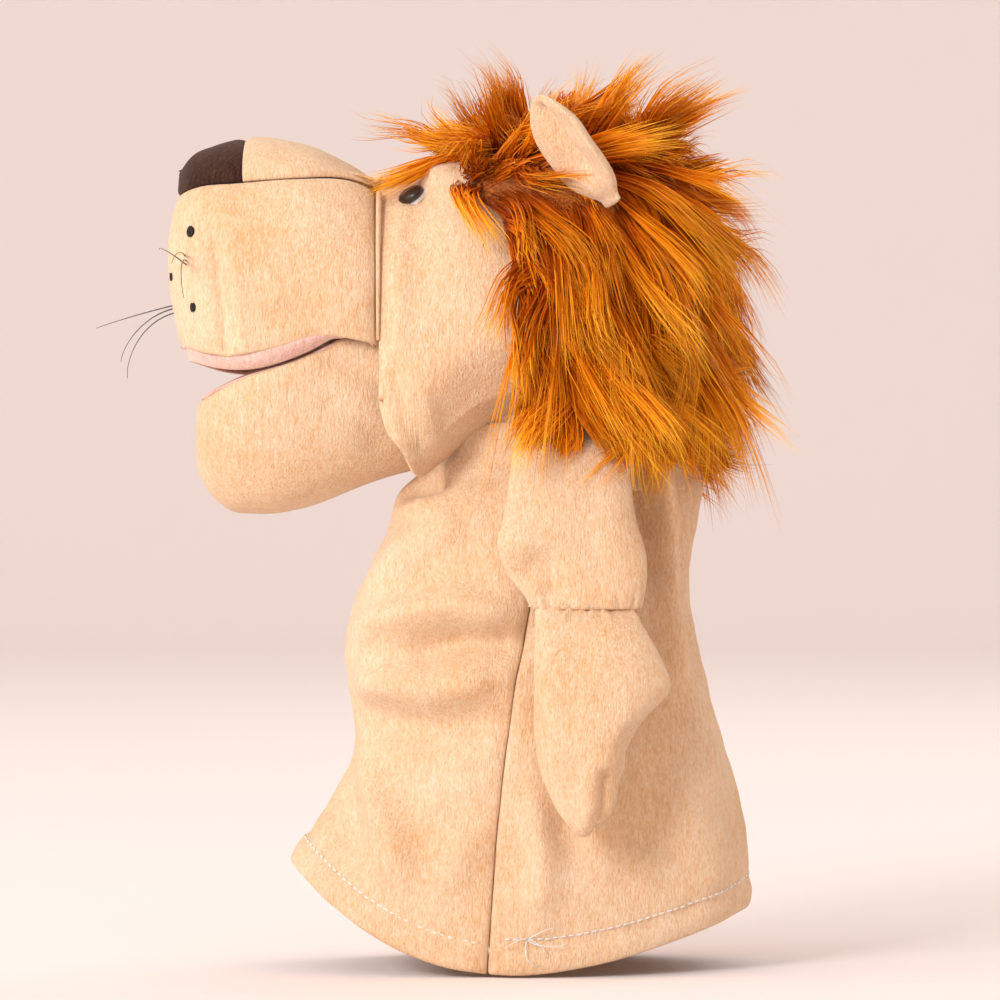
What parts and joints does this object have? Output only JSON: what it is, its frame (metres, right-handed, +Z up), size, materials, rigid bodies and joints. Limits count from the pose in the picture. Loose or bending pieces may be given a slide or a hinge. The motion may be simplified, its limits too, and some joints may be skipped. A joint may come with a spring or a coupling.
{
  "type": "lion hand puppet",
  "caption": "Plush lion hand puppet with an open sleeve for the hand, a moving mouth, a long-pile mane, soft ears, whiskers and two hanging arms with stuffed paws.",
  "frame": {"origin": "centre of the hand opening, level with the lower ends of the body's side seams", "axes": "+Z up through the neck to the crown, -X the way the face looks, -Y the puppet's own left side"},
  "size_m": [0.2274, 0.1392, 0.292],
  "materials": {
    "cream_velour": "short-pile cream velour",
    "mane_fur": "long-pile glossy golden-orange faux fur",
    "brown_pile": "short-pile dark brown plush",
    "pink_lining": "smooth pale pink felted cloth",
    "pocket_cloth": "plain woven cotton",
    "fibre_fill": "loose polyester fibre fill",
    "card": "stiff matt board",
    "eye_plastic": "polished dark brown",
    "washer_plastic": "plain moulded",
    "whisker_line": "dark nylon monofilament",
    "black_thread": "satin-stitched embroidery thread",
    "thread": "off-white sewing thread"
  },
  "bodies": {
    "sleeve": {"body_front_panel": "cream_velour", "body_back_panel": "cream_velour", "hem_stitching": "thread"},
    "neck": {"neck_collar": "cream_velour"},
    "head": {"left_muzzle_panel": "cream_velour", "right_muzzle_panel": "cream_velour", "nose_bridge_panel": "cream_velour", "nose": "brown_pile", "left_cheek_panel": "cream_velour", "right_cheek_panel": "cream_velour", "upper_palate_board": "card", "upper_mouth_lining": "pink_lining", "finger_pocket": "pocket_cloth", "muzzle_stuffing": "fibre_fill", "crown_stuffing": "fibre_fill", "left_mane_panel": "mane_fur", "right_mane_panel": "mane_fur", "back_mane_panel": "mane_fur", "left_eye": "eye_plastic", "right_eye": "eye_plastic", "left_eye_washer": "washer_plastic", "right_eye_washer": "washer_plastic", "left_whiskers": "whisker_line", "right_whiskers": "whisker_line", "left_whisker_spots": "black_thread", "right_whisker_spots": "black_thread"},
    "jaw": {"left_jaw_panel": "cream_velour", "right_jaw_panel": "cream_velour", "jaw_stuffing": "fibre_fill", "lower_palate_board": "card", "lower_mouth_lining": "pink_lining", "thumb_pocket": "pocket_cloth"},
    "left_ear": {"left_ear_front": "cream_velour", "left_ear_back": "cream_velour"},
    "right_ear": {"right_ear_front": "cream_velour", "right_ear_back": "cream_velour"},
    "left_arm": {"left_arm_sleeve": "cream_velour", "left_wrist_stitching": "thread"},
    "right_arm": {"right_arm_sleeve": "cream_velour", "right_wrist_stitching": "thread"},
    "left_paw": {"left_paw_shell": "cream_velour", "left_paw_stuffing": "fibre_fill"},
    "right_paw": {"right_paw_shell": "cream_velour", "right_paw_stuffing": "fibre_fill"}
  },
  "joints": [
    {"name": "neck_nod", "type": "hinge", "parent": "sleeve", "child": "neck", "pos_m": [0.012, 0, 0.15], "axis": [0, -1, 0], "range_deg": [-14, 8]},
    {"name": "neck_turn", "type": "hinge", "parent": "neck", "child": "head", "pos_m": [0.012, 0, 0.16], "axis": [0, 0, 1], "range_deg": [-15, 15]},
    {"name": "jaw_open", "type": "hinge", "parent": "head", "child": "jaw", "pos_m": [-0.058, 0, 0.207], "axis": [0, -1, 0], "range_deg": [-12, 25]},
    {"name": "left_ear_fold", "type": "hinge", "parent": "head", "child": "left_ear", "pos_m": [0.03, -0.052, 0.25229], "axis": [0.4644, -0.8526, 0.2395], "range_deg": [0, 30], "stiffness_Nm_per_rad": 0.02},
    {"name": "right_ear_fold", "type": "hinge", "parent": "head", "child": "right_ear", "pos_m": [0.03, 0.052, 0.25229], "axis": [-0.4644, -0.8526, -0.2395], "range_deg": [0, 30], "stiffness_Nm_per_rad": 0.02},
    {"name": "left_arm_raise", "type": "hinge", "parent": "sleeve", "child": "left_arm", "pos_m": [0.017, -0.0435, 0.148], "axis": [-1, 0, 0], "range_deg": [0, 110]},
    {"name": "right_arm_raise", "type": "hinge", "parent": "sleeve", "child": "right_arm", "pos_m": [0.017, 0.0435, 0.148], "axis": [1, 0, 0], "range_deg": [0, 110]},
    {"name": "left_paw_bend", "type": "hinge", "parent": "left_arm", "child": "left_paw", "pos_m": [0.02, -0.0455, 0.121], "axis": [-1, 0, 0], "range_deg": [0, 50]},
    {"name": "right_paw_bend", "type": "hinge", "parent": "right_arm", "child": "right_paw", "pos_m": [0.02, 0.0455, 0.121], "axis": [1, 0, 0], "range_deg": [0, 50]}
  ]
}
